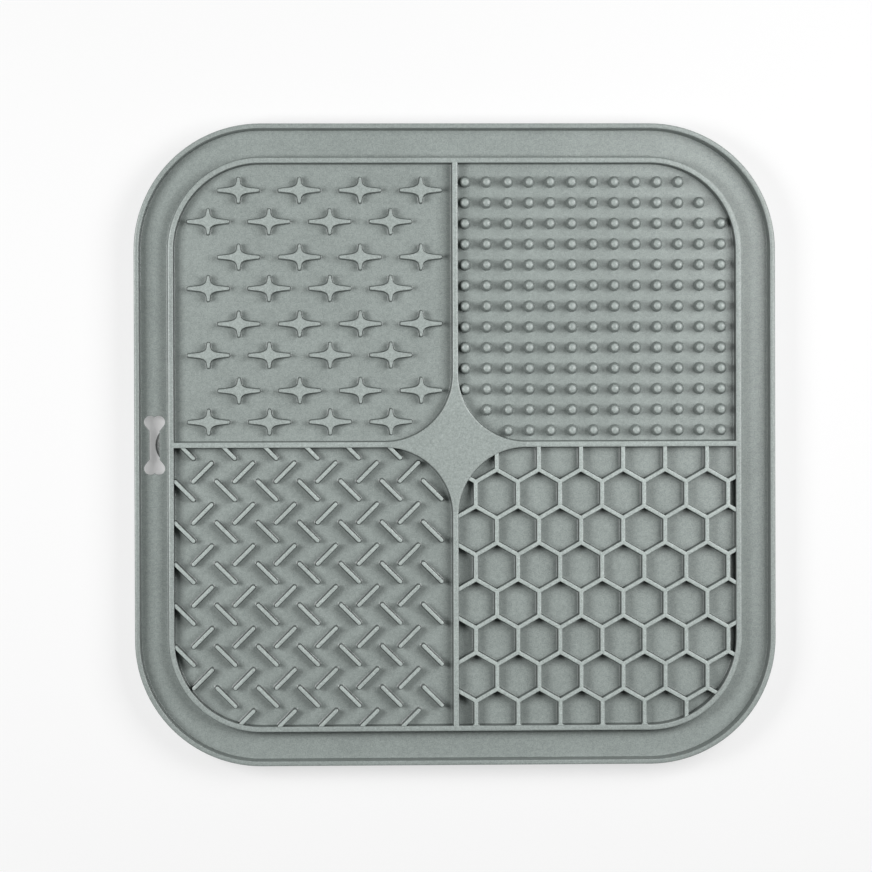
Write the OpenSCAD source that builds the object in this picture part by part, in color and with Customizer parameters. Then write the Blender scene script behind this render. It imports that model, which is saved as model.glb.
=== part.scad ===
// Silicone lick mat: a square tray with a gutter round it and four textured pockets about a star-shaped pad.
// Millimetres, +Z up. The origin is on the supporting surface, under the middle of the mat.

/* [Mat] */
// Overall width and depth
mat_w = 200; // [170:1:260]
// Outside radius of the corners
corner_r = 39.4; // [36:0.2:46]
// Thickness of the floor sheet
sheet_t = 2; // [1.5:0.1:3]
// Width of the edge rounding under the outer rim
under_edge_r = 0.5; // [0.3:0.1:1]

/* [Outer rim] */
// Height above the gutter floor
rim_h = 5; // [4:0.2:8]
// Width across the crest
rim_crest_w = 1.5; // [1.2:0.1:3]
// Rounding along both edges of the crest
rim_crest_r = 0.45; // [0.2:0.05:0.6]
// Lean of each face from root to crest
rim_draft = 0.2; // [0:0.05:0.5]
// Fillet at the root, on the gutter side
rim_root_r = 0.9; // [0.4:0.1:1.5]

/* [Gutter and inner rim] */
// Distance from the outer edge to the pocket side of the inner rim
pocket_inset = 12.35; // [11:0.05:16]
// Height of the inner rim and the dividers above the floor
wall_h = 4; // [3:0.2:6]
// Width across the crest of the inner rim
inner_crest_w = 1.75; // [1.4:0.05:3]
// Rounding along the crests of the inner rim and the dividers
wall_crest_r = 0.4; // [0.2:0.05:0.6]
// Lean of the gutter face of the inner rim
inner_draft = 0.15; // [0:0.05:0.4]
// Fillet between the inner rim and the gutter floor
inner_root_r = 0.8; // [0.4:0.1:1.2]

/* [Dividers and centre pad] */
// Width of the four dividers
divider_w = 1.8; // [1.4:0.1:3]
// Radius of the hollow sides of the centre pad
pad_arc_r = 21.2; // [16:0.2:24]

/* [Star studs] */
// Height above the floor
star_h = 3.2; // [2:0.2:4]
// Length over the two long arms
star_len = 13.1; // [10:0.1:14]
// Length over the two short arms
star_wid = 8; // [6:0.1:9]
// Width at the end of a long arm
star_long_tip_w = 0.84; // [0.5:0.02:1.2]
// Width at the end of a short arm
star_short_tip_w = 0.66; // [0.5:0.02:1.2]
// Half-width of the long arms where the hollow sides turn
star_waist_y = 1.1; // [0.8:0.05:1.4]
// Half-width of the short arms where the hollow sides turn
star_waist_x = 1; // [0.8:0.05:1.4]
// Spacing along a row
star_pitch_x = 18.93; // [17:0.1:24]
// Spacing between rows of the same kind
star_pitch_y = 20.8; // [19:0.1:26]
// Rise from a shifted row to the next plain row
star_row_rise = 9.75; // [9:0.05:12]
// First star of a plain row, from the divider
star_first_x = 9.7; // [8:0.1:14]
// Lowest row of stars, from the divider
star_first_y = 6.25; // [5:0.05:10]

/* [Round nubs] */
// Height above the floor
nub_h = 3.6; // [2.4:0.1:4]
// Diameter where the dome begins
nub_d = 3; // [2:0.1:4]
// Diameter at the floor
nub_base_d = 3.4; // [2.4:0.1:4.4]
// Spacing across the pocket
nub_pitch_x = 6.667; // [5:0.05:9]
// Spacing up the pocket
nub_pitch_y = 6.46; // [5:0.02:9]
// First column, from the divider
nub_first_x = 2.35; // [2.3:0.05:6]
// Lowest row, from the divider
nub_first_y = 3.43; // [2.3:0.01:6]

/* [Herringbone bars] */
// Height above the floor
bar_h = 3.4; // [2:0.1:4]
// Width of a bar
bar_w = 1.15; // [0.8:0.05:1.8]
// Length of a bar over its round ends
bar_len = 9.2; // [7:0.1:11]
// Slant of the bars
bar_angle = 45; // [35:1:55]
// Spacing of the bars of one slant, both ways
bar_pitch = 12.88; // [11:0.02:18]
// First rising bar, across from the divider
rising_first_x = 13.6; // [10:0.1:16]
// First rising bar, down from the divider
rising_first_y = 7.6; // [6:0.1:10]
// First falling bar, across from the divider
falling_first_x = 6.35; // [5:0.05:9]
// First falling bar, down from the divider
falling_first_y = 0.36; // [0.1:0.02:2]

/* [Honeycomb] */
// Height above the floor
comb_h = 3.6; // [2:0.1:4]
// Spacing of the cells, side to side
cell_pitch = 13.17; // [9:0.01:20]
// Thickness of the cell walls
cell_wall = 1.25; // [0.8:0.05:2]
// Middle of the first cell, across from the divider
cell_first_x = 5.35; // [3:0.05:8]
// Middle of the first cell, down from the divider
cell_first_y = 3.2; // [2:0.05:8]

/* [Suction cups] */
// Height of a cup, which lifts the floor sheet off the surface
cup_h = 3; // [2.4:0.1:5]
// Diameter over the lip
cup_d = 13.2; // [10:0.1:18]
// Diameter of the neck, against the floor sheet
cup_neck_d = 8; // [5:0.1:9]
// Depth of the hollow
cup_depth = 2; // [1.4:0.1:2.2]
// Width of the flat lip
cup_lip_w = 0.5; // [0.3:0.05:0.8]
// Thickness of the lip's edge
cup_lip_t = 0.4; // [0.3:0.05:0.6]
// Spacing of the cups, both ways
cup_pitch = 29; // [22:0.5:40]

/* [Hang hole] */
// Length of the bone-shaped hole
bone_len = 18.7; // [16:0.1:22]
// Width over the round ends
bone_end_w = 6.8; // [6:0.1:7]
// Radius of the round ends
bone_end_r = 2.1; // [1.8:0.05:2.3]
// Width of the straight part
bone_shaft_w = 3.4; // [2.6:0.1:4]
// Angle of the shoulders between the ends and the shaft
bone_shoulder = 40; // [30:1:50]

/* [Hidden] */
$fn = 64;
silicone = [0.59, 0.63, 0.61];
// Facets of a rounded edge or fillet in a profile
round_steps = 4;
// Overrun of a cut past the face that it goes through
over = 1;
// Levels of the underside and of the floor
under_z = cup_h;
floor_z = under_z + sheet_t;
// Half-widths from the middle of the mat: its edge, the gutter floor and the pockets
mat_half = mat_w / 2;
pocket_half = mat_half - pocket_inset;
gutter_out = mat_half - rim_draft - rim_crest_w - rim_draft - rim_root_r;
gutter_in = pocket_half + inner_crest_w + inner_draft + inner_root_r;
// Middle of each corner's arcs, which all share it
corner_c = mat_half - corner_r;
// The side of a divider, and the middle of the pad's hollow sides
side = divider_w / 2;
pad_c = side + pad_arc_r;
// Where the bone-shaped hole lies: across the middle of the gutter
bone_x = (gutter_out + gutter_in) / 2;
// Shares of a star's flanks that the round of its waist takes up
long_flank_share = 0.17;
short_flank_share = 0.3;

// Points of an arc about a centre, from angle a to angle b
function arc(centre, r, a, b, steps = round_steps) =
  [for (i = [0 : steps]) centre + r * [cos(a + (b - a) * i / steps), sin(a + (b - a) * i / steps)]];

// Point at share t of a quadratic curve from p to q, drawn towards c
function curve(p, c, q, t) = (1 - t) * (1 - t) * p + 2 * t * (1 - t) * c + t * t * q;

// Point at share t of the way from p to q
function along(p, q, t) = p + t * (q - p);

// Is a point inside a pocket by a margin? A pocket is a square with two of its corners round.
function in_pocket(p, margin) =
  let (outer = [p.x - corner_c, p.y - corner_c], inner = [pad_c - p.x, pad_c - p.y])
  min(p.x, p.y) - side > margin
  && pocket_half - max(p.x, p.y) > margin
  && (min(outer) < 0 || norm(outer) < pocket_half - corner_c - margin)
  && (min(inner) < 0 || norm(inner) < pad_arc_r - margin);

// Is a point inside the mat's outline by a margin?
function in_mat(p, margin) =
  let (a = [abs(p.x), abs(p.y)], outer = [a.x - corner_c, a.y - corner_c])
  mat_half - max(a) > margin && (min(outer) < 0 || norm(outer) < corner_r - margin);

// Carries a profile, drawn at its distance from the mat's middle, round the rounded square
module round_the_mat() {
  for (turn = [0 : 90 : 270]) rotate(turn) {
    rotate([90, 0, 0]) linear_extrude(2 * corner_c, center = true) children();
    translate([corner_c, corner_c, 0])
      rotate_extrude(angle = 90, $fn = 128) translate([-corner_c, 0]) children();
  }
}

// Rounded square of a given half-width, its corners about the shared middles
module rounded_square(half) {
  square([2 * half, 2 * corner_c], center = true);
  square([2 * corner_c, 2 * half], center = true);
  for (x = [-corner_c, corner_c], y = [-corner_c, corner_c])
    translate([x, y]) circle(half - corner_c, $fn = 128);
}

// Outline of a pocket, in the quarter where both coordinates are positive
module pocket_outline() {
  polygon([
    [pad_c, side], [pocket_half, side], [pocket_half, corner_c], [corner_c, corner_c],
    [corner_c, pocket_half], [side, pocket_half], [side, pad_c], [pad_c, pad_c]
  ]);
  translate([corner_c, corner_c]) circle(pocket_half - corner_c, $fn = 128);
  translate([pad_c, pad_c]) circle(pad_arc_r, $fn = 128);
}

// The four quarters of the mat, each drawn as the north-east one
module north_west() { mirror([1, 0, 0]) children(); }
module south_west() { rotate(180) children(); }
module south_east() { mirror([0, 1, 0]) children(); }

// Lip round the mat, with a leaning wall, a rounded crest and a fillet into the gutter
module outer_rim() {
  top = floor_z + rim_h;
  crest_out = mat_half - rim_draft;
  crest_in = crest_out - rim_crest_w;
  color(silicone) round_the_mat() polygon(concat(
    [[gutter_out, under_z]],
    arc([mat_half - under_edge_r, under_z + under_edge_r], under_edge_r, -90, 0),
    arc([crest_out - rim_crest_r, top - rim_crest_r], rim_crest_r, 0, 90),
    arc([crest_in + rim_crest_r, top - rim_crest_r], rim_crest_r, 90, 180),
    arc([gutter_out, floor_z + rim_root_r], rim_root_r, 0, -90)
  ));
}

// Bone-shaped hole: two pairs of round ends, shoulders and a shaft
module bone_outline() {
  end = [bone_end_w / 2 - bone_end_r, bone_len / 2 - bone_end_r];
  shoulder = end + bone_end_r * [cos(bone_shoulder), -sin(bone_shoulder)];
  shaft_y = shoulder.y - (shoulder.x - bone_shaft_w / 2) / tan(bone_shoulder);
  square([bone_shaft_w, bone_len - 2 * bone_end_r], center = true);
  for (s = [-1, 1]) {
    polygon([
      [-bone_shaft_w / 2, s * shaft_y], [bone_shaft_w / 2, s * shaft_y],
      [shoulder.x, s * shoulder.y], [-shoulder.x, s * shoulder.y]
    ]);
    for (x = [-end.x, end.x]) translate([x, s * end.y]) circle(bone_end_r);
  }
}

// Flat floor between the rims, with the hole that the mat hangs by
module gutter_floor() {
  color(silicone) difference() {
    translate([0, 0, under_z]) linear_extrude(sheet_t) rounded_square(gutter_out);
    translate([0, 0, under_z - over]) linear_extrude(sheet_t + 2 * over) rounded_square(gutter_in);
    translate([-bone_x, 0, under_z - over]) linear_extrude(sheet_t + 2 * over) bone_outline();
  }
}

// Wall round the pockets
module inner_rim() {
  top = floor_z + wall_h;
  crest_out = pocket_half + inner_crest_w;
  color(silicone) round_the_mat() polygon(concat(
    [[pocket_half, under_z], [gutter_in, under_z]],
    arc([gutter_in, floor_z + inner_root_r], inner_root_r, -90, -180),
    arc([crest_out - wall_crest_r, top - wall_crest_r], wall_crest_r, 0, 90),
    arc([pocket_half + wall_crest_r, top - wall_crest_r], wall_crest_r, 90, 180)
  ));
}

// One divider, from the pad's point to the inner rim
module divider() {
  top = floor_z + wall_h;
  color(silicone) translate([pad_c, 0, 0]) rotate([90, 0, 90])
    linear_extrude(pocket_half - pad_c) polygon(concat(
      [[-side, under_z], [side, under_z]],
      arc([side - wall_crest_r, top - wall_crest_r], wall_crest_r, 0, 90),
      arc([wall_crest_r - side, top - wall_crest_r], wall_crest_r, 90, 180)
    ));
}

// What one hollow side of the pad takes away: a round well, flared at the top to round the pad's edge
module pad_side_cut() {
  top = floor_z + wall_h;
  rotate_extrude($fn = 128) polygon(concat(
    [[0, under_z - over], [pad_arc_r, under_z - over]],
    arc([pad_arc_r + wall_crest_r, top - wall_crest_r], wall_crest_r, 180, 90),
    [[pad_arc_r + wall_crest_r, top + over], [0, top + over]]
  ));
}

// Four-pointed pad with hollow sides, level with the dividers
module centre_pad() {
  color(silicone) difference() {
    translate([-pad_c, -pad_c, under_z]) cube([2 * pad_c, 2 * pad_c, sheet_t + wall_h]);
    for (x = [-pad_c, pad_c], y = [-pad_c, pad_c]) translate([x, y, 0]) pad_side_cut();
  }
}

// Floor of one pocket
module pocket_floor() {
  color(silicone) translate([0, 0, under_z]) linear_extrude(sheet_t) pocket_outline();
}

// A quarter of a star's outline, from its long arm to its short arm
function star_flank(long_tip, waist, short_tip) = concat(
  [long_tip],
  [for (i = [0 : round_steps]) curve(
    along(waist, long_tip, long_flank_share), waist, along(waist, short_tip, short_flank_share), i / round_steps
  )],
  [short_tip]
);

// One star: four tapering arms with hollow flanks and blunt tips
module star() {
  flank = star_flank(
    [star_len / 2, star_long_tip_w / 2], [star_waist_x, star_waist_y], [star_short_tip_w / 2, star_wid / 2]
  );
  back = [for (i = [len(flank) - 1 : -1 : 0]) flank[i]];
  polygon(concat(
    flank,
    [for (p = back) [-p.x, p.y]],
    [for (p = flank) [-p.x, -p.y]],
    [for (p = back) [p.x, -p.y]]
  ));
}

// Does a star at p, reaching this far both ways, lie clear of the pocket's walls?
function star_fits(p) =
  in_pocket(p + [star_len / 2, 0], 0) && in_pocket(p - [star_len / 2, 0], 0)
  && in_pocket(p + [0, star_wid / 2], 0) && in_pocket(p - [0, star_wid / 2], 0);

// Rows of stars, every other row shifted by half a space
module star_studs() {
  first = [side + star_first_x, side + star_first_y];
  columns = floor(pocket_half / star_pitch_x);
  rows = floor(pocket_half / star_pitch_y);
  color(silicone) north_west() translate([0, 0, floor_z]) linear_extrude(star_h)
    for (i = [0 : columns], j = [0 : rows], plain = [0, 1]) {
      p = first + [(i + (1 - plain) / 2) * star_pitch_x, j * star_pitch_y + plain * star_row_rise];
      if (star_fits(p)) translate(p) star();
    }
}

// One nub: a tapering stem under a round dome
module nub() {
  stem = nub_h - nub_d / 2;
  cylinder(h = stem, d1 = nub_base_d, d2 = nub_d, $fn = 32);
  translate([0, 0, stem]) sphere(d = nub_d, $fn = 32);
}

// Grid of nubs, as many as the pocket holds
module round_nubs() {
  first = [side + nub_first_x, side + nub_first_y];
  columns = floor(pocket_half / nub_pitch_x);
  rows = floor(pocket_half / nub_pitch_y);
  color(silicone) translate([0, 0, floor_z]) for (j = [0 : rows]) for (i = [0 : columns]) {
    p = first + [i * nub_pitch_x, j * nub_pitch_y];
    if (in_pocket(p, nub_base_d / 2)) translate(p) nub();
  }
}

// Bars of one slant, cut off at the walls of the pocket
module bars(first, slant) {
  reach = bar_len / 2 - bar_w / 2;
  count = floor(pocket_half / bar_pitch);
  color(silicone) south_west() translate([0, 0, floor_z]) linear_extrude(bar_h)
    for (i = [0 : count], j = [0 : count]) {
      p = first + [i * bar_pitch, j * bar_pitch];
      if (in_pocket(p, 0)) intersection() {
        pocket_outline();
        translate(p) rotate(slant) {
          square([2 * reach, bar_w], center = true);
          for (x = [-reach, reach]) translate([x, 0]) circle(bar_w / 2, $fn = 24);
        }
      }
    }
}

module rising_bars() { bars([side + rising_first_x, side + rising_first_y], bar_angle); }
module falling_bars() { bars([side + falling_first_x, side + falling_first_y], -bar_angle); }

// One wall of the honeycomb, from corner to corner of a cell, mitred to meet two others at each end
module cell_side() {
  cell_r = cell_pitch / sqrt(3);
  mitre = cell_wall / 2 / tan(60);
  translate([cell_pitch / 2, 0]) polygon([
    [0, -cell_r / 2], [cell_wall / 2, mitre - cell_r / 2], [cell_wall / 2, cell_r / 2 - mitre],
    [0, cell_r / 2], [-cell_wall / 2, cell_r / 2 - mitre], [-cell_wall / 2, mitre - cell_r / 2]
  ]);
}

// Every honeycomb wall that faces one way: a cell brings one such wall, and its neighbour the opposite one
module comb_walls(facing) {
  first = [side + cell_first_x, side + cell_first_y];
  row_pitch = cell_pitch * sin(60);
  count = ceil(pocket_half / row_pitch);
  color(silicone) south_east() translate([0, 0, floor_z])
    for (j = [-1 : count]) for (i = [-1 : count]) {
      p = first + [(i + abs(j % 2) / 2) * cell_pitch, j * row_pitch];
      middle = p + cell_pitch / 2 * [cos(facing), sin(facing)];
      if (in_pocket(middle, -cell_pitch / 4)) linear_extrude(comb_h) intersection() {
        pocket_outline();
        translate(p) rotate(facing) cell_side();
      }
    }
}

module honeycomb_upright_walls() { comb_walls(0); }
module honeycomb_rising_walls() { comb_walls(60); }
module honeycomb_falling_walls() { comb_walls(120); }

// One suction cup: a flared bell with a shallow hollow and a flat lip
module suction_cup() {
  lip_r = cup_d / 2;
  neck_r = cup_neck_d / 2;
  hollow_r = lip_r - cup_lip_w;
  rotate_extrude(angle = 360) polygon(concat(
    [[0, cup_depth], [0, cup_h], [neck_r, cup_h]],
    [for (i = [1 : round_steps]) curve([neck_r, cup_h], [neck_r, cup_lip_t], [lip_r, cup_lip_t], i / round_steps)],
    [[lip_r, 0], [hollow_r, 0]],
    [for (i = [1 : round_steps - 1]) curve([hollow_r, 0], [hollow_r / 2, cup_depth], [0, cup_depth], i / round_steps)]
  ));
}

// Cups all over the underside, wherever a whole one fits inside the outline
module suction_cups() {
  count = floor(mat_half / cup_pitch);
  color(silicone) for (i = [-count : count]) for (j = [-count : count]) {
    p = cup_pitch * [i, j];
    if (in_mat(p, cup_d / 2)) translate(p) suction_cup();
  }
}

outer_rim();
gutter_floor();
inner_rim();
rotate(90) divider();  // divider_north
divider();  // divider_east
rotate(270) divider();  // divider_south
rotate(180) divider();  // divider_west
centre_pad();
north_west() pocket_floor();  // star_pocket_floor
pocket_floor();  // nub_pocket_floor
south_west() pocket_floor();  // herringbone_pocket_floor
south_east() pocket_floor();  // honeycomb_pocket_floor
star_studs();
round_nubs();
rising_bars();
falling_bars();
honeycomb_upright_walls();
honeycomb_rising_walls();
honeycomb_falling_walls();
suction_cups();
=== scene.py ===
"""Looks of a square silicone lick mat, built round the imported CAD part.

Sizes are named in millimetres, in the part's own frame, and become metres where something is made.
A shell is a tuple: points, quads and triangles, the last two as rows of corner numbers.
"""
import math

import bpy
import numpy as np
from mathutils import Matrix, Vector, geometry


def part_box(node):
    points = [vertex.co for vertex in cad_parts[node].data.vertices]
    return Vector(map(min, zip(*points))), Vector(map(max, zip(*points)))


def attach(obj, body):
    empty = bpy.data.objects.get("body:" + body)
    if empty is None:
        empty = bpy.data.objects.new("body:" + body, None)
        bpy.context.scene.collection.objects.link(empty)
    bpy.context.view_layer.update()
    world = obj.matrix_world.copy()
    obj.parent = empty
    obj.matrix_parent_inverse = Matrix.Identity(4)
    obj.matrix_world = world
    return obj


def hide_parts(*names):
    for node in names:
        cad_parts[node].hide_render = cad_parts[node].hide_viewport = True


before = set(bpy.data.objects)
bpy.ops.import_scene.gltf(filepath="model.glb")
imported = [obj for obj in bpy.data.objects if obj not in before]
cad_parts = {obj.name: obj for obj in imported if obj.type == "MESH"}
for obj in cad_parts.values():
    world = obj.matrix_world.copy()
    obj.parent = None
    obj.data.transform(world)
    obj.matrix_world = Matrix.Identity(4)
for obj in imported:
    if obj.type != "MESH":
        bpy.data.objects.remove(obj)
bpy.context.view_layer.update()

MM = 0.001
NO_QUADS = np.zeros((0, 4), int)
NO_TRIANGLES = np.zeros((0, 3), int)


def cad_box(node):
    """Lowest and highest corner of a CAD node, in millimetres."""
    return [np.array(corner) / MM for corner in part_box(node)]


# Levels and half-widths that the frame gives
rim_low, rim_high = cad_box("outer_rim")
mat_half, rim_top, under_z = rim_high[0], rim_high[2], rim_low[2]
gutter_high = cad_box("gutter_floor")[1]
gutter_out, floor_z = gutter_high[0], gutter_high[2]
inner_high = cad_box("inner_rim")[1]
gutter_in, wall_top = inner_high[0], inner_high[2]
pocket_low, pocket_high = cad_box("nub_pocket_floor")
side, pocket_half = pocket_low[0], pocket_high[0]
pad_c = cad_box("centre_pad")[1][0]
pad_arc_r = pad_c - side
cup_h = under_z

# Outline and rims, each crest as (reach inwards, drop)
corner_r = 39.4
corner_c = mat_half - corner_r
under_edge_r = 0.5
rim_draft = 0.08
rim_crest_w = 1.6
rim_crest = (0.6, 0.3)
rim_foot_w = 0.9
rim_root_r = 0.3
inner_crest_w = 1.75
inner_foot_w = 0.8
inner_root_r = 0.35
wall_crest = (0.55, 0.22)
wall_lean = 0.06
pocket_root_r = 0.5

# Depth below the floor of each stud's seat and of each fillet's foot
sink = 0.25
root_sink = 0.02

# Star studs
star_h = 3.2
star_len, star_wid = 13.1, 8.0
star_long_tip_w, star_short_tip_w = 0.9, 0.72
star_waist = (0.8, 1.08)
star_tip_setback = 0.4
star_long_setback, star_short_setback = 3.0, 2.0
star_pitch = (18.93, 20.8)
star_row_rise = 9.75
star_first = (9.7, 6.25)
star_crest = (0.15, 0.12)
star_root_r = 0.5
star_lean = 0.06

# Round nubs, the bend of their root as (reach beyond the base, rise)
nub_h = 3.6
nub_d, nub_base_d = 3.0, 3.4
nub_dome_h, nub_dome_power = 1.0, 2.3
nub_pitch = (6.667, 6.46)
nub_first = (2.35, 3.43)
nub_root_r = 0.3
nub_root_bend = (0.18, 0.02)

# Herringbone bars
bar_h = 3.4
bar_w, bar_len = 1.15, 9.2
bar_pitch = 12.88
rising_first = (13.6, 7.6)
falling_first = (6.35, 0.36)
bar_crest = (0.4, 0.12)
bar_root_r = 0.5
bar_lean = 0.02
bar_seat = 0.55

# Honeycomb
comb_h = 3.6
cell_pitch, cell_wall = 13.17, 1.25
cell_r = cell_pitch / math.sqrt(3)
cell_first = (5.35, 3.2)
cell_rows, cell_columns = (-1, 9), (-1, 8)
comb_crest = (0.4, 0.12)
comb_root_r = 0.45
comb_lean = 0.03
comb_seat = 0.6
comb_least_share = 0.02

# Suction cups
cup_d, cup_neck_d, cup_depth = 13.2, 8.0, 2.0
cup_lip_w, cup_lip_t, cup_lip_round = 0.5, 0.4, 0.08
cup_pole_r = 0.02
cup_pitch = 29.0
cups_from_middle = 3

# Hang hole, and the panel of the gutter floor that holds it
bone_len, bone_end_w, bone_end_r = 18.7, 6.8, 2.1
bone_shaft_w, bone_shoulder = 3.4, 40.0
bone_x = (gutter_out + gutter_in) / 2
bone_edge_r = 0.14
panel_half = 14.0

# Points that stand a gap inside a flat stretch, so that its smooth shading stays flat
flat_gap = 0.08
long_side_gaps = 4
stud_top_gap = 0.02

# Steps and sections of the swept pieces, and how each ring on the pad's flat top shrinks
ring_arc_steps, ring_straight_steps = 28, 24
divider_sections, comb_sections = 40, 5
pad_top_factors = (0.96, 0.7, 0.7, 0.7)

# Angles, in degrees: where a stud's root fillet meets its face, and from where on an edge is shaded sharp
root_end = -8
sharp_edge = 40

# Limits: a setback's share of a side, and the spread of two sides' normals
most_setback = 0.45
least_spread = 0.5

# Silicone: its two tones, its noises as (scale to the metre, detail, roughness), and the tints they give it
silicone_dark, silicone_light = (0.290, 0.326, 0.312), (0.319, 0.358, 0.343)
mottle_noise = (55, 3, 0.55)
speckle_noise = (2600, 2, 0.6)
speckle_dark, speckle_light = (0.79, 0.80, 0.79), (1.15, 1.15, 1.15)
grit_noise = (1100, 2, 0.5)
grit_dark, grit_light = (0.91, 0.91, 0.915), (1.09, 1.085, 1.09)
grain_noise = (1700, 3, 0.6)
noise_low, noise_high = 0.3, 0.7
grain_strength, grain_depth = 0.25, 0.1

# Painted highlight: where a crest's lightening starts and is full, below the top; painted shade in the
# creases: where their darkening starts and is full, above the floor
highlight_start, highlight_full = 0.4, 0.12
crease_shade_start, crease_shade_end = 0.01, 0.06

# Dot product of normal and place, in metres: below the first a face looks towards the mat's middle and gets
# its full painted shade, above the second it doesn't and gets none
facing_shade_full, facing_shade_none = -0.05, -0.02


def arc(centre, radius, start, end, steps):
    """Points of a circle from one angle to another, in degrees: centre plus radius times (cos, sin)."""
    angle = np.radians(np.linspace(start, end, steps + 1))
    return np.asarray(centre) + radius * np.stack([np.cos(angle), np.sin(angle)], -1)


def heading(angle):
    """Unit vector in plan, at an angle in degrees counter-clockwise from east."""
    return np.array([math.cos(math.radians(angle)), math.sin(math.radians(angle))])


def quarter_turn(count):
    """Matrix of so many quarter turns in plan, counter-clockwise."""
    return np.linalg.matrix_power(np.array([[0, -1], [1, 0]]), count)


def quadratic(start, bend, end, share):
    """Points of a quadratic curve from start to end, pulled towards the bend, at shares from 0 to 1."""
    return (1 - share) ** 2 * start + 2 * share * (1 - share) * bend + share ** 2 * end


def crest(face, top, reach, drop, steps):
    """Quarter ellipse from a wall's face up to its top: in by the reach while it rises by the drop."""
    angle = np.radians(np.linspace(0, 90, steps + 1))
    return np.stack([face + reach * (1 - np.cos(angle)), top - drop * (1 - np.sin(angle))], -1)


def raised(plan, height):
    """Points in plan with their height added: one for all of them, or an array that is spread over them."""
    return np.concatenate([plan, np.broadcast_to(height, (*plan.shape[:-1], 1))], -1)


def held_flats(loop):
    """Closed loop with two more points in each long side, a gap from its ends, so its shading stays flat."""
    following = np.roll(loop, -1, axis=0)
    step = following - loop
    length = np.linalg.norm(step, axis=1, keepdims=True)
    share = flat_gap / np.maximum(length, flat_gap)
    trio = np.stack([loop, loop + share * step, following - share * step], 1)
    long_side = length > long_side_gaps * flat_gap
    keep = np.concatenate([np.ones_like(long_side), long_side, long_side], 1)
    return trio[keep]


def strip_quads(rows, columns, wrap_rows=False, wrap_columns=False):
    """Corner numbers of the quads of a grid whose points run row by row."""
    row = np.arange(rows if wrap_rows else rows - 1)[:, None]
    column = np.arange(columns if wrap_columns else columns - 1)[None, :]
    next_row, next_column = (row + 1) % rows, (column + 1) % columns
    corners = [row * columns + column, next_row * columns + column,
               next_row * columns + next_column, row * columns + next_column]
    return np.stack(corners, -1).reshape(-1, 4)


def fan(loop):
    """Triangles that fill a loop of corner numbers, all from its first one."""
    return np.stack([np.full(len(loop) - 2, loop[0]), loop[1:-1], loop[2:]], -1)


def joined(shells):
    """Several shells as one."""
    starts = np.cumsum([0] + [len(shell[0]) for shell in shells])
    return (
        np.concatenate([shell[0] for shell in shells]),
        np.concatenate([shell[1] + start for shell, start in zip(shells, starts)]),
        np.concatenate([shell[2] + start for shell, start in zip(shells, starts)]),
    )


def copies(shell, moves):
    """One shell repeated at each move: points plus move, with corner numbers counted on."""
    points, quads, triangles = shell
    offset = (np.arange(len(moves)) * len(points))[:, None, None]
    return (
        (points[None] + moves[:, None]).reshape(-1, 3),
        (quads[None] + offset).reshape(-1, 4),
        (triangles[None] + offset).reshape(-1, 3),
    )


def stacked_rings(rings, bottom, top):
    """Closed shell through rings of points, which run the same way round, shut by a pole at each end."""
    levels, count = rings.shape[:2]
    points = np.concatenate([rings.reshape(-1, 3), [bottom, top]])
    quads = strip_quads(levels, count, wrap_columns=True)[:, [0, 3, 2, 1]]
    here = np.arange(count)
    following = (here + 1) % count
    low_pole, high_pole = levels * count, levels * count + 1
    last = (levels - 1) * count
    low = np.stack([following, here, np.full(count, low_pole)], -1)
    high = np.stack([last + here, last + following, np.full(count, high_pole)], -1)
    return points, quads, np.concatenate([low, high])


def turned_rings(profile, sides):
    """Rings of a form turned about an upright axis, from its profile of (radius, height)."""
    circle = arc([0, 0], 1, 0, 360, sides)[:-1]
    return np.stack([raised(radius * circle, height) for radius, height in profile])


def set_in(outline, distance):
    """Outline moved towards its inside by a distance, each point along its two sides' mean normal."""
    ahead = np.roll(outline, -1, axis=0) - outline
    ahead /= np.linalg.norm(ahead, axis=1, keepdims=True)
    behind = np.roll(ahead, 1, axis=0)
    inward_ahead = np.stack([-ahead[:, 1], ahead[:, 0]], -1)
    inward_behind = np.stack([-behind[:, 1], behind[:, 0]], -1)
    spread = 1 + np.sum(inward_ahead * inward_behind, axis=1, keepdims=True)
    return outline + distance * (inward_ahead + inward_behind) / np.maximum(spread, least_spread)


def inset_rings(outline, profile):
    """Rings of a form drawn by its outline, set in at each height by its profile of (inset, height)."""
    return np.stack([raised(set_in(outline, inset), height) for inset, height in profile])


def soft_corners(corners, setbacks, steps):
    """Outline with each corner replaced by a quadratic curve between points set back along its two sides.

    A row of setbacks holds the one along the side before the corner and the one along the side after it.
    """
    ends = []
    for roll, setback in ((1, setbacks[:, :1]), (-1, setbacks[:, 1:])):
        along = np.roll(corners, roll, axis=0) - corners
        length = np.linalg.norm(along, axis=1, keepdims=True)
        ends.append(corners + along / length * np.minimum(setback, most_setback * length))
    share = np.linspace(0, 1, steps + 1)[None, :, None]
    return quadratic(ends[0][:, None], corners[:, None], ends[1][:, None], share).reshape(-1, 2)


def stud_profile(height, lean, crest_size, root_r, crest_steps, root_steps):
    """(inset, height above the floor) of a stud: root fillet, face leaning in by the lean, crowned crest."""
    root = arc([-root_r, root_r - root_sink], root_r, -90, root_end, root_steps)
    top = crest(lean, height, *crest_size, crest_steps)
    return np.concatenate([[[-root_r, -sink]], root, top, [[lean + crest_size[0] + stud_top_gap, height]]])


def in_pocket(points, margin):
    """Which points of the first quarter lie inside a pocket by a margin: a square with two corners round."""
    outer = points - corner_c
    inner = pad_c - points
    in_outer = (outer.min(-1) < 0) | (np.linalg.norm(outer, axis=-1) < pocket_half - corner_c - margin)
    in_inner = (inner.min(-1) < 0) | (np.linalg.norm(inner, axis=-1) < pad_arc_r - margin)
    in_square = (points.min(-1) - side > margin) & (pocket_half - points.max(-1) > margin)
    return in_square & in_outer & in_inner


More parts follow.
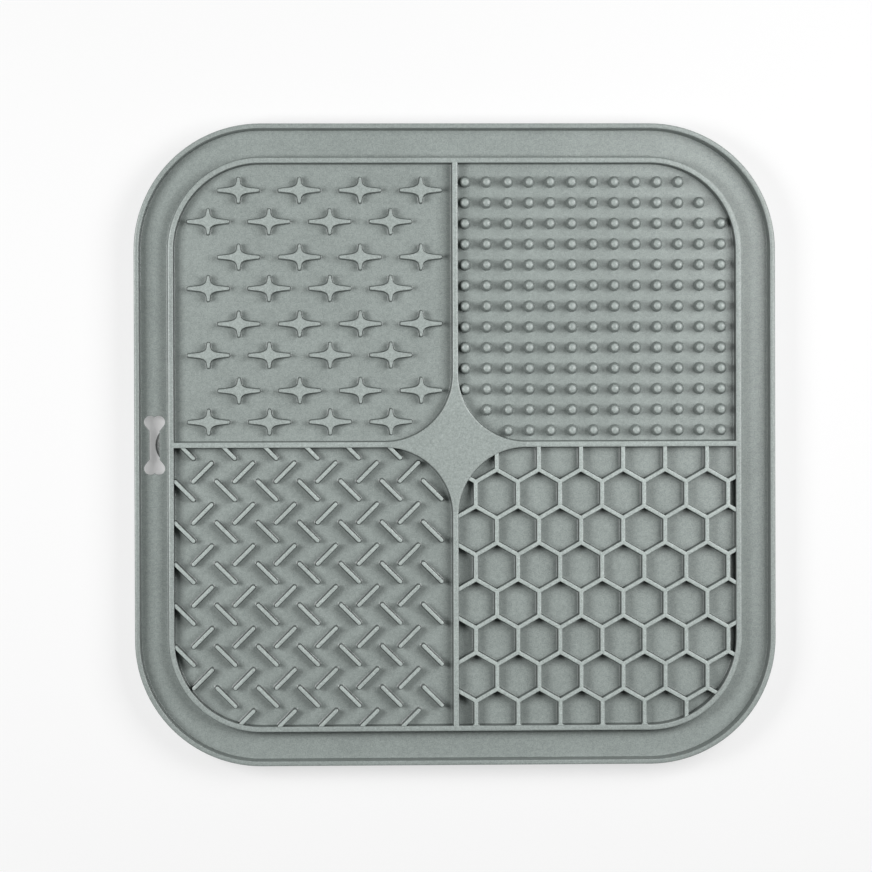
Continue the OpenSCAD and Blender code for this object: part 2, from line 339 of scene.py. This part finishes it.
def lattice(first, pitch, columns, rows):
    """Every point of a grid in the first quarter, its first one placed from the dividers' sides."""
    x = side + first[0] + np.arange(columns) * pitch[0]
    y = side + first[1] + np.arange(rows) * pitch[1]
    return np.stack(np.meshgrid(x, y), -1).reshape(-1, 2)


def kept_span(middles, direction, half_length, margin, samples=801):
    """Part of each line that lies inside the pocket by the margin.

    It gives the first and the last share, from -1 to 1 about the line's middle, and whether there is any.
    """
    share = np.linspace(-1, 1, samples)
    points = middles[:, None] + share[None, :, None] * half_length * direction
    inside = in_pocket(points, margin)
    first = share[np.argmax(inside, axis=1)]
    last = share[samples - 1 - np.argmax(inside[:, ::-1], axis=1)]
    return first, last, inside.any(axis=1)


def round_the_mat(arc_steps, straight_steps):
    """Anchor and outward direction of each step of the closed path round the mat, from its east side on.

    On a side the anchor runs along the inner square. In a corner it stays at the corner's middle, and the
    direction turns.
    """
    run = np.linspace(-corner_c, corner_c, straight_steps + 1)[:-1]
    turn = np.linspace(0, math.pi / 2, arc_steps + 1)[:-1]
    east_side = np.column_stack([np.full(straight_steps, corner_c), run])
    anchors = np.concatenate([east_side, np.full((arc_steps, 2), corner_c)])
    corner_directions = np.column_stack([np.cos(turn), np.sin(turn)])
    outward = np.concatenate([np.tile([1.0, 0.0], (straight_steps, 1)), corner_directions])
    matrices = [quarter_turn(count).T for count in range(4)]
    return (np.concatenate([anchors @ matrix for matrix in matrices]),
            np.concatenate([outward @ matrix for matrix in matrices]))


def carried(profile, anchors, outward):
    """Points of a profile carried along a path round the mat.

    A profile's point is (distance from the mat's middle, height). In plan it stands outward of the anchor,
    by the distance less the inner square's half-width.
    """
    plan = anchors[:, None] + outward[:, None] * (profile[None, :, :1] - corner_c)
    return raised(plan, profile[None, :, 1:])


def rim_shell(profile):
    """Closed ring: a closed profile carried all the way round the mat."""
    points = carried(profile, *round_the_mat(ring_arc_steps, ring_straight_steps))
    quads = strip_quads(*points.shape[:2], wrap_rows=True, wrap_columns=True)
    return points.reshape(-1, 3), quads, NO_TRIANGLES


def outer_rim_profile():
    """Leaning faces, a rounded crest and a fillet into the gutter."""
    crest_out = mat_half - rim_draft
    crest_in = crest_out - rim_crest_w
    root_centre = [gutter_out + rim_foot_w - rim_root_r, floor_z + rim_root_r]
    return held_flats(np.concatenate([
        [[gutter_out, under_z]],
        arc([mat_half - under_edge_r, under_z + under_edge_r], under_edge_r, -90, 0, steps=5),
        crest(crest_out, rim_top, -rim_crest[0], rim_crest[1], steps=7),
        crest(crest_in, rim_top, *rim_crest, steps=7)[::-1],
        arc(root_centre, rim_root_r, 0, -90, steps=6),
        [[gutter_out, floor_z]],
    ]))


def inner_rim_profile():
    """Wall round the pockets, with a fillet into the gutter and another into the pockets."""
    crest_out = pocket_half + inner_crest_w
    gutter_root = [gutter_in - inner_foot_w + inner_root_r, floor_z + inner_root_r]
    pocket_root = [pocket_half - pocket_root_r, floor_z + pocket_root_r - root_sink]
    return held_flats(np.concatenate([
        [[pocket_half, under_z], [gutter_in, under_z], [gutter_in, floor_z]],
        arc(gutter_root, inner_root_r, -90, -180, steps=6),
        crest(crest_out, wall_top, -wall_crest[0], wall_crest[1], steps=6),
        crest(pocket_half + wall_lean, wall_top, *wall_crest, steps=6)[::-1],
        arc(pocket_root, pocket_root_r, 0, -90, steps=6),
        [[pocket_half - pocket_root_r, floor_z - sink], [pocket_half, floor_z - sink]],
    ]))


def pocket_side_profile():
    """(distance into the wall, height) of a pocket's side, from the underside up to the flat crest."""
    return np.concatenate([
        [[0, under_z], [0, floor_z - sink], [-pocket_root_r, floor_z - sink]],
        arc([-pocket_root_r, floor_z + pocket_root_r - root_sink], pocket_root_r, -90, 0, steps=6),
        crest(wall_lean, wall_top, *wall_crest, steps=6),
        [[wall_lean + wall_crest[0] + flat_gap, wall_top]],
    ])


def divider_shell(turns):
    """Straight wall with the pocket's side profile on both faces, from the pad's point into the rim."""
    half = pocket_side_profile()
    section = np.concatenate([half * [-1, 1] + [side, 0], half[::-1] - [side, 0]])
    along = np.linspace(pad_c, pocket_half + wall_lean + wall_crest[0], divider_sections)
    points = np.empty((divider_sections, len(section), 3))
    points[..., 0] = along[:, None]
    points[..., 1:] = section
    points[..., :2] = points[..., :2] @ quarter_turn(turns).T
    quads = strip_quads(divider_sections, len(section), wrap_columns=True)[:, ::-1]
    end = np.array(geometry.tessellate_polygon([[(y, z, 0) for y, z in section]]))
    triangles = np.concatenate([end[:, ::-1], end + (divider_sections - 1) * len(section)])
    return points.reshape(-1, 3), quads, triangles


def centre_pad_shell():
    """Four-pointed pad, through rings of four arcs about the pockets' inner corners.

    An arc's radius is the pocket's own plus the side profile's distance into the wall. On the flat top each
    ring is the last one times a factor.
    """
    rings = []
    for distance, height in pocket_side_profile():
        quarter = arc([pad_c, pad_c], pad_arc_r + distance, 270, 180, steps=40)
        plan = np.concatenate([quarter @ quarter_turn(count).T for count in range(4)])
        rings.append(raised(plan, height))
    for factor in pad_top_factors:
        rings.append(rings[-1] * [factor, factor, 1])
    return stacked_rings(np.stack(rings), [0, 0, under_z], [0, 0, wall_top])


def bone_outline():
    """Outline of the hang hole about its middle, counter-clockwise: end lobes, shoulders and a shaft."""
    shoulder_turn = math.radians(bone_shoulder)
    lobe = np.array([bone_end_w, bone_len]) / 2 - bone_end_r
    shoulder = lobe + bone_end_r * heading(-bone_shoulder)
    shaft_y = shoulder[1] - (shoulder[0] - bone_shaft_w / 2) / math.tan(shoulder_turn)
    notch = math.degrees(math.acos(lobe[0] / bone_end_r))
    east_lobe = arc(lobe, bone_end_r, -bone_shoulder, 180 - notch, steps=16)
    quarter = np.concatenate([[[bone_shaft_w / 2, shaft_y]], east_lobe])
    north_west = quarter[::-1] * [-1, 1]
    north = np.concatenate([quarter, north_west[1:]])
    return np.concatenate([north, -north])


def flat_face(outer, inner, height, upward):
    """Triangles of a flat face between an outer outline and an inner one."""
    loops = [[(x, y, 0) for x, y in outer], [(x, y, 0) for x, y in inner]]
    triangles = np.array(geometry.tessellate_polygon(loops))
    plan = np.concatenate([outer, inner])
    a, b, c = plan[triangles[:, 0]], plan[triangles[:, 1]], plan[triangles[:, 2]]
    turn = (b - a)[:, 0] * (c - a)[:, 1] - (b - a)[:, 1] * (c - a)[:, 0]
    wrong = (turn < 0) if upward else (turn > 0)
    triangles[wrong] = triangles[wrong][:, ::-1]
    return raised(plan, height), NO_QUADS, triangles


def gutter_ring():
    """The gutter floor's section carried round the mat, from the west panel's south end to its north end.

    The path comes to the west side after two quarters. Of its steps there only the first is kept, at the
    corner.
    """
    anchors, outward = round_the_mat(ring_arc_steps, ring_straight_steps)
    quarter = ring_arc_steps + ring_straight_steps
    west = 2 * quarter
    order = np.r_[west + ring_straight_steps:4 * quarter, 0:west + 1]
    anchors = np.concatenate([[[-corner_c, -panel_half]], anchors[order], [[-corner_c, panel_half]]])
    outward = np.concatenate([[[-1, 0]], outward[order], [[-1, 0]]])
    section = np.array([
        [gutter_in, under_z], [gutter_out, under_z], [gutter_out, floor_z], [gutter_in, floor_z]])
    points = carried(section, anchors, outward)
    return points.reshape(-1, 3), strip_quads(*points.shape[:2], wrap_columns=True), NO_TRIANGLES


def hang_hole_panel():
    """Shells of the gutter floor's west panel: its faces, and the hang hole's wall with rounded edges."""
    x0, x1 = -gutter_out, -gutter_in
    panel = np.array([[x0, -panel_half], [x1, -panel_half], [x1, panel_half], [x0, panel_half]])
    hole = bone_outline() + [-bone_x, 0]
    edge = np.concatenate([
        arc([0, under_z + bone_edge_r], bone_edge_r, -90, 0, steps=3),
        arc([0, floor_z - bone_edge_r], bone_edge_r, 0, 90, steps=3)])
    rings = inset_rings(hole, edge)
    wall = (rings.reshape(-1, 3), strip_quads(*rings.shape[:2], wrap_columns=True), NO_TRIANGLES)
    top = flat_face(panel, hole, floor_z, upward=True)
    bottom = flat_face(panel, hole, under_z, upward=False)
    sides = []
    for x, order in ((x0, 1), (x1, -1)):
        corners = np.array([[x, panel_half, under_z], [x, -panel_half, under_z],
                            [x, -panel_half, floor_z], [x, panel_half, floor_z]])
        sides.append((corners[::order], np.array([[0, 1, 2, 3]]), NO_TRIANGLES))
    return [wall, top, bottom, *sides]


def star_outline():
    """Four-pointed star about its middle, counter-clockwise from the east tip, with soft inner corners."""
    half = np.array([
        [star_len / 2, -star_long_tip_w / 2], [star_len / 2, star_long_tip_w / 2], star_waist,
        [star_short_tip_w / 2, star_wid / 2], [-star_short_tip_w / 2, star_wid / 2],
        [-star_waist[0], star_waist[1]]])
    tip = [star_tip_setback, star_tip_setback]
    after_long = [star_long_setback, star_short_setback]
    setbacks = 2 * [tip, tip, after_long, tip, tip, after_long[::-1]]
    return soft_corners(np.concatenate([half, -half]), np.array(setbacks), steps=6)


def star_shells():
    """Rows of stars, every other row shifted by half a space, in the north-west pocket."""
    profile = stud_profile(star_h, star_lean, star_crest, star_root_r, crest_steps=4, root_steps=3)
    one = stacked_rings(inset_rings(star_outline(), profile), [0, 0, -sink], [0, 0, star_h])
    plain = lattice((star_first[0], star_first[1] + star_row_rise), star_pitch, columns=5, rows=4)
    shifted = lattice((star_first[0] + star_pitch[0] / 2, star_first[1]), star_pitch, columns=5, rows=5)
    places = np.concatenate([plain, shifted])
    tips = np.array([[star_len / 2, 0], [-star_len / 2, 0], [0, star_wid / 2], [0, -star_wid / 2]])
    fits = np.all([in_pocket(places + tip, 0) for tip in tips], axis=0)
    return copies(one, raised(places[fits] * [-1, 1], floor_z))


def nub_shells():
    """Grid of nubs in the north-east pocket, each a root, a stem and a dome flatter than half a ball."""
    dome = arc([0, 0], 1, 0, 90, steps=7)[:-1] ** (2 / nub_dome_power) * [nub_d / 2, nub_dome_h]
    base_r = nub_base_d / 2
    bend = [base_r + nub_root_bend[0], nub_root_bend[1]]
    root = [[base_r + nub_root_r, -sink], bend, [base_r, nub_root_r]]
    profile = np.concatenate([root, dome + [0, nub_h - nub_dome_h]])
    one = stacked_rings(turned_rings(profile, sides=14), [0, 0, -sink], [0, 0, nub_h])
    places = lattice(nub_first, nub_pitch, columns=14, rows=14)
    return copies(one, raised(places[in_pocket(places, base_r)], floor_z))


def bar_shells(first, slant):
    """Bars of one slant in the south-west pocket, with round ends. One that meets a wall ends inside it."""
    direction = heading(slant)
    across = quarter_turn(1) @ direction
    places = lattice(first, (bar_pitch, bar_pitch), columns=8, rows=8)
    places = places[in_pocket(places, 0)]
    start, end, _ = kept_span(places, direction, bar_len / 2, -bar_seat)
    half_w = bar_w / 2
    low_end = start * bar_len / 2 + half_w
    high_end = end * bar_len / 2 - half_w
    profile = stud_profile(bar_h, bar_lean, bar_crest, bar_root_r, crest_steps=4, root_steps=2)
    radius = half_w - profile[:, :1]
    height = (floor_z + profile[:, 1])[:, None, None]
    cap = arc([0, 0], 1, -90, 90, steps=6)
    unit = np.concatenate([cap, -cap])
    far = np.arange(len(unit)) < len(cap)
    shells = []
    for place, low, high in zip(places, low_end, high_end):
        along = np.where(far, high, low) + radius * unit[:, 0]
        sideways = radius * unit[:, 1]
        plan = place + along[..., None] * direction + sideways[..., None] * across
        rings = raised(-plan, height)
        middle = -(place + (low + high) / 2 * direction)
        shells.append(stacked_rings(rings, [*middle, floor_z - sink], [*middle, floor_z + bar_h]))
    return joined(shells)


def comb_section():
    """Closed section of a honeycomb wall, (sideways, height above the floor).

    It has a point on the middle line at the top and one at the foot, which reach the walls' junction.
    """
    rise = stud_profile(comb_h, comb_lean, comb_crest, comb_root_r, crest_steps=4, root_steps=3)
    half = np.column_stack([cell_wall / 2 - rise[:, 0], rise[:, 1]])
    return np.concatenate([half * [-1, 1], [[0, comb_h]], half[::-1], [[0, -sink]]])


def comb_wall(section, middle, outward, low, high):
    """One honeycomb wall between two shares, from -1 to 1, of the way between its corners.

    At a corner it meets its neighbours: a point at distance d from the middle line stops d / tan(60) short
    of it. Where the pocket's side cuts it off, it ends flat, inside that wall.
    """
    mitre = np.abs(section[:, 0]) / math.tan(math.radians(60))
    low_stop = np.where(low <= -1, -cell_r / 2 + mitre, low * cell_r / 2)
    high_stop = np.where(high >= 1, cell_r / 2 - mitre, high * cell_r / 2)
    share = np.linspace(0, 1, comb_sections)[:, None]
    along = low_stop * (1 - share) + high_stop * share
    direction = quarter_turn(1) @ outward
    plan = middle + along[..., None] * direction + section[None, :, :1] * -outward
    points = raised(plan * [1, -1], floor_z + section[None, :, 1:])
    quads = strip_quads(*points.shape[:2], wrap_columns=True)[:, ::-1]
    loop = np.arange(len(section))
    caps = []
    if low > -1:
        caps.append(fan(loop[::-1]))
    if high < 1:
        caps.append(fan(loop + (comb_sections - 1) * len(section)))
    return points.reshape(-1, 3), quads, np.concatenate([NO_TRIANGLES, *caps])


def comb_shells():
    """Honeycomb walls in the south-east pocket: three sides of every cell, as far as they are in it."""
    section = comb_section()
    row_pitch = cell_pitch * math.sin(math.radians(60))
    row, column = np.meshgrid(np.arange(*cell_rows), np.arange(*cell_columns), indexing="ij")
    x = side + cell_first[0] + (column + (row % 2) / 2) * cell_pitch
    y = side + cell_first[1] + row * row_pitch
    centres = np.stack([x, y], -1).reshape(-1, 2)
    shells = []
    for facing in (0, 60, 120):
        outward = heading(facing)
        middles = centres + outward * cell_pitch / 2
        low, high, met = kept_span(middles, quarter_turn(1) @ outward, cell_r / 2, -comb_seat, samples=1601)
        kept = met & (high - low >= comb_least_share)
        for middle, start, end in zip(middles[kept], low[kept], high[kept]):
            shells.append(comb_wall(section, middle, outward, start, end))
    return joined(shells)


def cup_shells():
    """Suction cups: flared bells with a shallow hollow and a rounded lip, wherever a whole one fits."""
    lip_r, neck_r = cup_d / 2, cup_neck_d / 2
    hollow_r = lip_r - cup_lip_w
    share = np.linspace(0, 1, 9)[:, None]
    profile = np.concatenate([
        quadratic([cup_pole_r, cup_depth], [hollow_r / 2, cup_depth], [hollow_r, 0], share),
        [[lip_r - cup_lip_round, 0], [lip_r, cup_lip_round]],
        quadratic([lip_r, cup_lip_t], [neck_r, cup_lip_t], [neck_r, cup_h], share)])
    one = stacked_rings(turned_rings(profile, sides=32), [0, 0, cup_depth], [0, 0, cup_h])
    steps = np.arange(-cups_from_middle, cups_from_middle + 1) * cup_pitch
    places = np.stack(np.meshgrid(steps, steps), -1).reshape(-1, 2)
    outer = np.abs(places) - corner_c
    in_square = mat_half - np.abs(places).max(-1) > lip_r
    in_corner = (outer.min(-1) < 0) | (np.linalg.norm(outer, axis=-1) < corner_r - lip_r)
    return copies(one, raised(places[in_square & in_corner], 0.0))


def silicone(name, top=None, highlight_gain=0.0, crease_shade=1.0, inward_shade=1.0, shade=1.0):
    """Moulded silicone: mottling, fine speckle, faint grit and a grainy bump, all by Object coordinates.

    With a top, the colour is lightened near it by a painted highlight on the crest, and darkened from
    there down to the floor by painted shade in the creases. Faces that look towards the mat's middle are
    darkened by painted shade as well. The shade scales the whole colour, as painted shade.
    """
    material = bpy.data.materials.new(name)
    material.use_nodes = True
    nodes, links = material.node_tree.nodes, material.node_tree.links
    shader = nodes["Principled BSDF"]
    place = nodes.new("ShaderNodeTexCoord").outputs["Object"]

    def noise(scale, detail, rough):
        """Noise over the Object coordinates."""
        node = nodes.new("ShaderNodeTexNoise")
        node.inputs["Scale"].default_value = scale
        node.inputs["Detail"].default_value = detail
        node.inputs["Roughness"].default_value = rough
        links.new(place, node.inputs["Vector"])
        return node.outputs["Fac"]

    def ramp(source, low, high, low_colour, high_colour):
        """Colour that goes from one to the other as the source goes from low to high."""
        node = nodes.new("ShaderNodeMapRange")
        node.inputs["From Min"].default_value = low
        node.inputs["From Max"].default_value = high
        links.new(source, node.inputs["Value"])
        mix = nodes.new("ShaderNodeMix")
        mix.data_type = "RGBA"
        mix.inputs["A"].default_value = (*low_colour, 1)
        mix.inputs["B"].default_value = (*high_colour, 1)
        links.new(node.outputs["Result"], mix.inputs["Factor"])
        return mix.outputs["Result"]

    def product(one, other):
        """Two colours multiplied."""
        mix = nodes.new("ShaderNodeMix")
        mix.data_type = "RGBA"
        mix.blend_type = "MULTIPLY"
        mix.inputs["Factor"].default_value = 1
        links.new(one, mix.inputs["A"])
        links.new(other, mix.inputs["B"])
        return mix.outputs["Result"]

    # Painted shade: the shade factor darkens the whole colour
    dark, light = shade * np.array(silicone_dark), shade * np.array(silicone_light)
    mottle = ramp(noise(*mottle_noise), noise_low, noise_high, dark, light)
    speckle = ramp(noise(*speckle_noise), noise_low, noise_high, speckle_dark, speckle_light)
    grit = ramp(noise(*grit_noise), noise_low, noise_high, grit_dark, grit_light)
    colour = product(product(mottle, speckle), grit)
    # Painted shade on faces that look towards the mat's middle
    if inward_shade < 1:
        towards = nodes.new("ShaderNodeVectorMath")
        towards.operation = "DOT_PRODUCT"
        links.new(nodes.new("ShaderNodeNewGeometry").outputs["Normal"], towards.inputs[0])
        links.new(place, towards.inputs[1])
        facing = ramp(towards.outputs["Value"], facing_shade_full, facing_shade_none, 3 * [inward_shade], (1, 1, 1))
        colour = product(colour, facing)
    if top is not None:
        apart = nodes.new("ShaderNodeSeparateXYZ")
        links.new(place, apart.inputs["Vector"])
        level = apart.outputs["Z"]
        # Painted shade in the creases: darker from just above the floor up the face
        floor_levels = (floor_z + crease_shade_start) * MM, (floor_z + crease_shade_end) * MM
        root = ramp(level, *floor_levels, (1, 1, 1), 3 * [crease_shade])
        # Painted highlight on the crest, lighter towards the top
        top_levels = (top - highlight_start) * MM, (top - highlight_full) * MM
        lit = ramp(level, *top_levels, (1, 1, 1), 3 * [(1 + highlight_gain) / crease_shade])
        colour = product(product(colour, root), lit)
    links.new(colour, shader.inputs["Base Color"])
    shader.inputs["Roughness"].default_value = 0.3
    shader.inputs["Specular IOR Level"].default_value = 0.5
    grain = nodes.new("ShaderNodeBump")
    grain.inputs["Strength"].default_value = grain_strength
    grain.inputs["Distance"].default_value = grain_depth * MM
    links.new(noise(*grain_noise), grain.inputs["Height"])
    links.new(grain.outputs["Normal"], shader.inputs["Normal"])
    return material


def make_piece(name, shell, material, *nodes):
    """Object from a shell in millimetres, smooth but for sharp edges, standing for the CAD nodes named."""
    points, quads, triangles = shell
    mesh = bpy.data.meshes.new(name)
    mesh.from_pydata((points * MM).tolist(), [], quads.tolist() + triangles.tolist())
    mesh.validate()
    mesh.shade_smooth()
    mesh.set_sharp_from_angle(angle=math.radians(sharp_edge))
    piece = bpy.data.objects.new(name, mesh)
    bpy.context.scene.collection.objects.link(piece)
    mesh.materials.append(material)
    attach(piece, "root")
    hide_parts(*nodes)
    return piece


# The first silicone is plain; the others carry painted highlights and painted shade
mat_silicone = silicone("moulded_silicone")
# Painted shade: the cups are darkened as if in the shade under the mat
cup_silicone = silicone("cup_silicone", shade=0.5)
rim_silicone = silicone("rim_silicone", rim_top, highlight_gain=0.06, inward_shade=0.6)
inner_silicone = silicone("inner_rim_silicone", wall_top, highlight_gain=0.16, crease_shade=0.85, inward_shade=0.53)
divider_silicone = silicone("divider_silicone", wall_top, highlight_gain=0.28, crease_shade=0.52)
pad_silicone = silicone("pad_silicone", wall_top, highlight_gain=0.15, crease_shade=0.6)
star_silicone = silicone("star_silicone", floor_z + star_h, highlight_gain=0.22, crease_shade=0.52)
nub_silicone = silicone("nub_silicone", floor_z + nub_h, highlight_gain=0.22, crease_shade=0.78)
bar_silicone = silicone("bar_silicone", floor_z + bar_h, highlight_gain=0.45, crease_shade=0.42)
comb_silicone = silicone("comb_silicone", floor_z + comb_h, highlight_gain=0.45, crease_shade=0.42)

make_piece("mat_outer_rim", rim_shell(outer_rim_profile()), rim_silicone, "outer_rim")
make_piece("mat_gutter_floor", joined([gutter_ring(), *hang_hole_panel()]), mat_silicone, "gutter_floor")
make_piece("mat_inner_rim", rim_shell(inner_rim_profile()), inner_silicone, "inner_rim")
for turns, compass in enumerate(("east", "north", "west", "south")):
    make_piece("mat_divider_" + compass, divider_shell(turns), divider_silicone, "divider_" + compass)
make_piece("mat_centre_pad", centre_pad_shell(), pad_silicone, "centre_pad")
make_piece("mat_star_studs", star_shells(), star_silicone, "star_studs")
make_piece("mat_round_nubs", nub_shells(), nub_silicone, "round_nubs")
make_piece("mat_rising_bars", bar_shells(rising_first, slant=45), bar_silicone, "rising_bars")
make_piece("mat_falling_bars", bar_shells(falling_first, slant=-45), bar_silicone, "falling_bars")
make_piece("mat_honeycomb", comb_shells(), comb_silicone,
           "honeycomb_upright_walls", "honeycomb_rising_walls", "honeycomb_falling_walls")
make_piece("mat_suction_cups", cup_shells(), cup_silicone, "suction_cups")
for pattern in ("star", "nub", "herringbone", "honeycomb"):
    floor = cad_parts[pattern + "_pocket_floor"]
    floor.data.materials.clear()
    floor.data.materials.append(mat_silicone)


def camera_above():
    """Camera above the mat and a little to its north-west, turned back to it, as the photo's keystone shows.

    The frame share is the width that the camera sees, over its distance.
    """
    west, north, height = 60.0, 21.0, 1300.0
    turns = (-0.8, -2.373, -0.164)
    frame_share = 0.2086
    near, far = 10.0, 20000.0
    data = bpy.data.cameras.new("camera")
    data.sensor_width = 36
    data.lens = data.sensor_width / frame_share
    data.clip_start, data.clip_end = near * MM, far * MM
    camera = bpy.data.objects.new("camera", data)
    camera.location = (-west * MM, north * MM, (height + rim_top) * MM)
    camera.rotation_euler = [math.radians(turn) for turn in turns]
    bpy.context.scene.collection.objects.link(camera)
    bpy.context.scene.camera = camera


def softbox(name, azimuth, elevation, distance, size, power):
    """Square soft light aimed at the mat's middle, its azimuth in degrees counter-clockwise from east."""
    data = bpy.data.lights.new(name, "AREA")
    data.shape = "SQUARE"
    data.size = size * MM
    data.energy = power
    light = bpy.data.objects.new(name, data)
    level = math.cos(math.radians(elevation)) * heading(azimuth)
    light.location = distance * MM * np.array([*level, math.sin(math.radians(elevation))])
    light.rotation_euler = (0, math.radians(90 - elevation), math.radians(azimuth))
    bpy.context.scene.collection.objects.link(light)


def pale_plane(name, outline, height, whiteness):
    """Plain pale plane that keeps a soft shadow of the mat. The camera sees it whitened by a share."""
    mesh = bpy.data.meshes.new(name)
    mesh.from_pydata((raised(outline, height) * MM).tolist(), [], [list(range(len(outline)))])
    plane = bpy.data.objects.new(name, mesh)
    bpy.context.scene.collection.objects.link(plane)
    material = bpy.data.materials.new("pale_" + name)
    material.use_nodes = True
    nodes, links = material.node_tree.nodes, material.node_tree.links
    shader = nodes["Principled BSDF"]
    shader.inputs["Base Color"].default_value = (0.9, 0.9, 0.9, 1)
    shader.inputs["Roughness"].default_value = 0.9
    shader.inputs["Specular IOR Level"].default_value = 0.1
    white = nodes.new("ShaderNodeEmission")
    white.inputs["Strength"].default_value = 1.0
    seen = nodes.new("ShaderNodeMath")
    seen.operation = "MULTIPLY"
    seen.inputs[1].default_value = whiteness
    links.new(nodes.new("ShaderNodeLightPath").outputs["Is Camera Ray"], seen.inputs[0])
    mix = nodes.new("ShaderNodeMixShader")
    links.new(seen.outputs[0], mix.inputs["Fac"])
    links.new(shader.outputs["BSDF"], mix.inputs[1])
    links.new(white.outputs["Emission"], mix.inputs[2])
    links.new(mix.outputs["Shader"], nodes["Material Output"].inputs["Surface"])
    mesh.materials.append(material)


def gutter_outline():
    """Outline of the gutter's outer edge, in plan."""
    anchors, outward = round_the_mat(arc_steps=16, straight_steps=1)
    return anchors + outward * (gutter_out - corner_c)


def plain_world(strength):
    """Even surroundings that light the mat by the strength and are white where the camera sees them."""
    world = bpy.data.worlds.new("studio")
    world.use_nodes = True
    nodes, links = world.node_tree.nodes, world.node_tree.links
    background = nodes["Background"]
    background.inputs["Color"].default_value = (1, 1, 1, 1)
    level = nodes.new("ShaderNodeMapRange")
    level.inputs["To Min"].default_value = strength
    level.inputs["To Max"].default_value = 1
    links.new(nodes.new("ShaderNodeLightPath").outputs["Is Camera Ray"], level.inputs["Value"])
    links.new(level.outputs["Result"], background.inputs["Strength"])
    bpy.context.scene.world = world


stage_half = 6000.0
stage_outline = stage_half * np.array([[-1, -1], [1, -1], [1, 1], [-1, 1]])

camera_above()
softbox("west_softbox", azimuth=173, elevation=50, distance=580, size=230, power=1.98)
softbox("east_softbox", azimuth=19, elevation=53, distance=510, size=320, power=2.03)
pale_plane("stage_floor", stage_outline, height=0.0, whiteness=0.67)
pale_plane("shaded_floor", gutter_outline(), height=0.02, whiteness=0.28)
plain_world(strength=0.035)
bpy.context.scene.view_settings.view_transform = "Standard"
